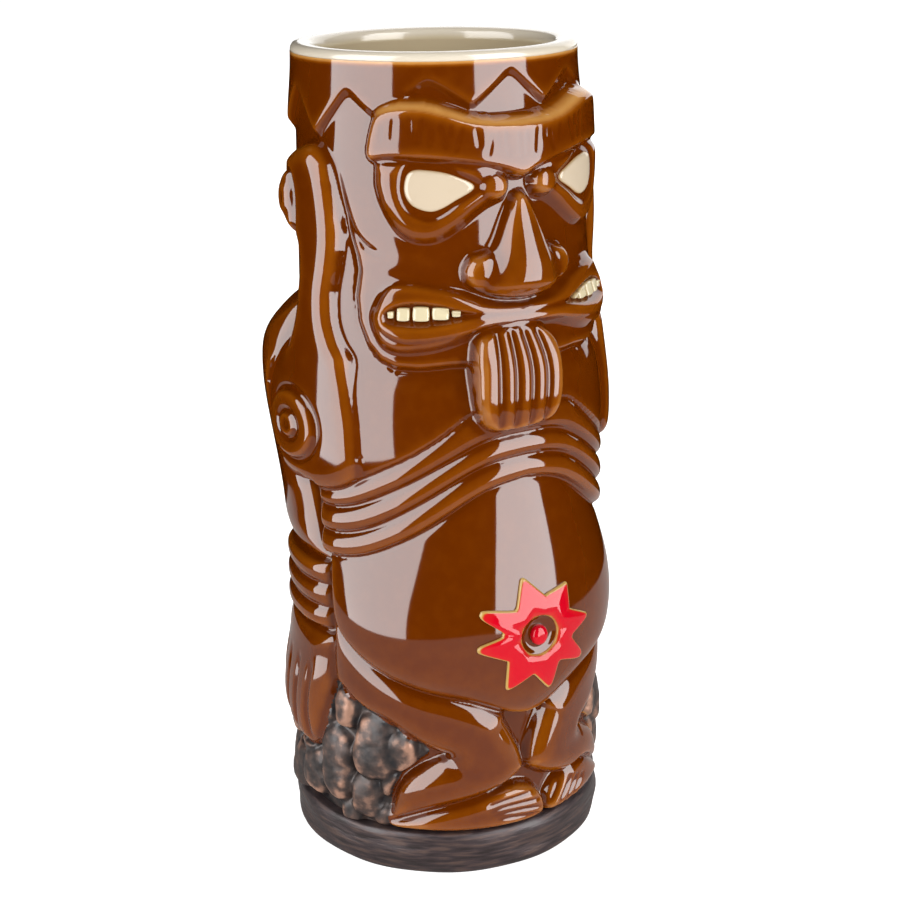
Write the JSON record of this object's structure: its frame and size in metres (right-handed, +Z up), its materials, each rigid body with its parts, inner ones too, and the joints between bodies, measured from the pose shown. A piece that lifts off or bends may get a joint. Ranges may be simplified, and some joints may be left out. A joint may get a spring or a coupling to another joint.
{
  "type": "tiki mug",
  "caption": "Tall glazed stoneware tumbler on a round plinth, its outside a standing big-bellied figure in relief with looped ears, ribbed chest and folded legs.",
  "frame": {"origin": "middle of the plinth's flat underside, on the cup's axis", "axes": "+Z up along the cup's axis, the figure faces -Y, and +X is the figure's left"},
  "size_m": [0.0848, 0.0855, 0.2],
  "materials": {
    "brown_glaze": "thick glossy amber-brown glaze, dark in the hollows and breaking to amber on edges",
    "cream_glaze": "glossy cream liner glaze, pale on the rim",
    "eye_glaze": "satin cream glaze",
    "tooth_glaze": "satin ivory glaze",
    "red_glaze": "glossy red overglaze",
    "bronze_wash": "matte dark oxide wash with a dull copper sheen on high spots"
  },
  "bodies": {
    "root": {"cup_body": "brown_glaze", "liner_glaze": "cream_glaze", "plinth": "bronze_wash", "crown_band": "brown_glaze", "face_shield": "brown_glaze", "brow": "brown_glaze", "eye_socket_left": "brown_glaze", "eye_socket_right": "brown_glaze", "eye_left": "eye_glaze", "eye_right": "eye_glaze", "bridge_bead_left": "brown_glaze", "bridge_bead_right": "brown_glaze", "nose": "brown_glaze", "upper_lip": "brown_glaze", "lower_lip": "brown_glaze", "teeth_left": "tooth_glaze", "teeth_right": "tooth_glaze", "jowl_left": "brown_glaze", "jowl_right": "brown_glaze", "chin_roll": "brown_glaze", "tongue": "brown_glaze", "ear_left": "brown_glaze", "ear_right": "brown_glaze", "ear_scroll_left": "brown_glaze", "ear_scroll_right": "brown_glaze", "lobe_plug_left": "brown_glaze", "lobe_plug_right": "brown_glaze", "arm_left": "brown_glaze", "arm_right": "brown_glaze", "wrist_bands_left": "brown_glaze", "wrist_bands_right": "brown_glaze", "hand_left": "brown_glaze", "hand_right": "brown_glaze", "chest": "brown_glaze", "rib_fold_upper": "brown_glaze", "rib_fold_middle": "brown_glaze", "rib_fold_lower": "brown_glaze", "belly": "brown_glaze", "navel_star": "red_glaze", "navel_bead": "red_glaze", "thigh_left": "brown_glaze", "thigh_right": "brown_glaze", "shin_left": "brown_glaze", "shin_right": "brown_glaze", "foot_left": "brown_glaze", "foot_right": "brown_glaze", "rocks_left": "bronze_wash", "rocks_right": "bronze_wash"}
  },
  "joints": []
}
